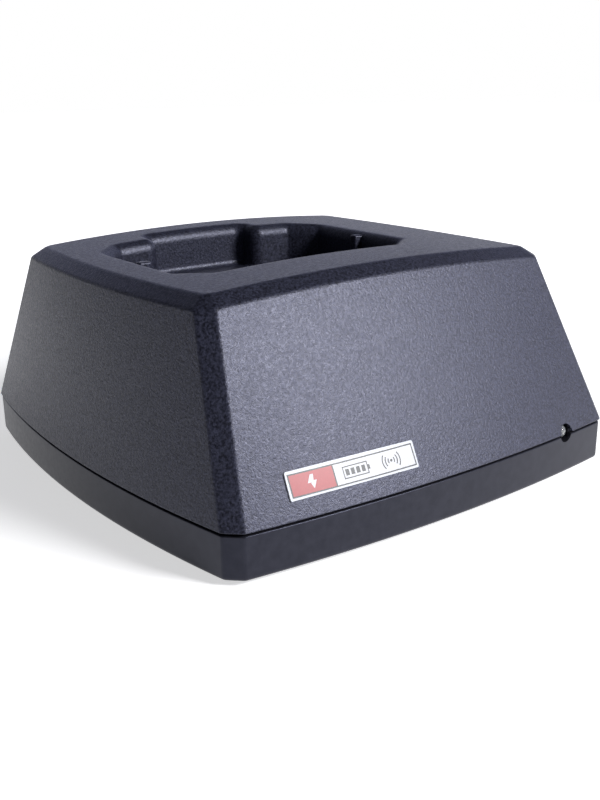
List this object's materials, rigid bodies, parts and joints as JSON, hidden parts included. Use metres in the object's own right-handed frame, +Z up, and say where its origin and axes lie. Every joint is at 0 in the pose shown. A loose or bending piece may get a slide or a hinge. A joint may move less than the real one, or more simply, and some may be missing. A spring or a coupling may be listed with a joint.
{
  "type": "two-way radio charging cradle",
  "caption": "Desktop charging cradle for a handheld radio: a sloping grained cover with a deep pocket, spring contacts, a status light and a power inlet.",
  "frame": {"origin": "on the table under the middle of the footprint, level with the feet", "axes": "+Z up; -Y towards the front with the badge and the status light; +X to the right seen from the front"},
  "size_m": [0.1162, 0.1176, 0.051],
  "materials": {
    "cover_plastic": "fine spark-eroded grain, satin black ABS",
    "tray_plastic": "smooth satin black ABS",
    "badge": "printed polyester badge under clear gloss",
    "label": "blank silver rating label",
    "foot_rubber": "matt black rubber",
    "screw_steel": "zinc plated",
    "board": "green solder mask over glass fibre",
    "white_nylon": "natural nylon",
    "capacitor_sleeve": "dark blue shrink sleeve",
    "chip_resin": "black moulding resin",
    "tinned": "tinned copper",
    "resistor": "beige lacquer",
    "sink_aluminium": "black anodised",
    "inlet_plastic": "black socket body",
    "nickel": "nickel plated",
    "led_lens": "clear domed lens",
    "block_plastic": "black nylon",
    "brass": "tinned brass tags",
    "contact_gold": "gold flashed",
    "spring_steel": "music wire",
    "wire_black": "PVC insulation",
    "wire_yellow": "PVC insulation",
    "wire_red": "PVC insulation"
  },
  "bodies": {
    "housing": {"badge_plate": "badge", "base_tray": "tray_plastic", "board_header": "white_nylon", "board_screws": "screw_steel", "bracket_screws": "screw_steel", "capacitor_large": "capacitor_sleeve", "capacitors_small": "capacitor_sleeve", "case_screws": "screw_steel", "charge_chip": "chip_resin", "chip_legs": "tinned", "contact_block": "block_plastic", "contact_bracket": "block_plastic", "contact_spring_centre": "spring_steel", "contact_spring_left": "spring_steel", "contact_spring_right": "spring_steel", "contact_tags": "brass", "contact_wire_centre": "wire_yellow", "contact_wire_left": "wire_black", "contact_wire_right": "wire_red", "cover": "cover_plastic", "diodes": "chip_resin", "foot_back_left": "foot_rubber", "foot_back_right": "foot_rubber", "foot_front_left": "foot_rubber", "foot_front_right": "foot_rubber", "heat_sink": "sink_aluminium", "inlet_body": "inlet_plastic", "inlet_leaf": "nickel", "inlet_pin": "nickel", "led_leads": "tinned", "main_board": "board", "rating_label": "label", "regulator_body": "chip_resin", "regulator_screw": "screw_steel", "regulator_tab": "tinned", "resistors": "resistor", "status_led": "led_lens", "wire_plug": "white_nylon"},
    "contact_left": {"contact_pin_left": "contact_gold"},
    "contact_centre": {"contact_pin_centre": "contact_gold"},
    "contact_right": {"contact_pin_right": "contact_gold"}
  },
  "joints": [
    {"name": "contact_left_press", "type": "slide", "parent": "housing", "child": "contact_left", "axis": [0, 0, -1], "range_m": [0, 0.002], "stiffness_N_per_m": 120, "springref_m": -0.003, "deforming": ["contact_spring_left"]},
    {"name": "contact_centre_press", "type": "slide", "parent": "housing", "child": "contact_centre", "axis": [0, 0, -1], "range_m": [0, 0.002], "stiffness_N_per_m": 120, "springref_m": -0.003, "deforming": ["contact_spring_centre"]},
    {"name": "contact_right_press", "type": "slide", "parent": "housing", "child": "contact_right", "axis": [0, 0, -1], "range_m": [0, 0.002], "stiffness_N_per_m": 120, "springref_m": -0.003, "deforming": ["contact_spring_right"]}
  ]
}
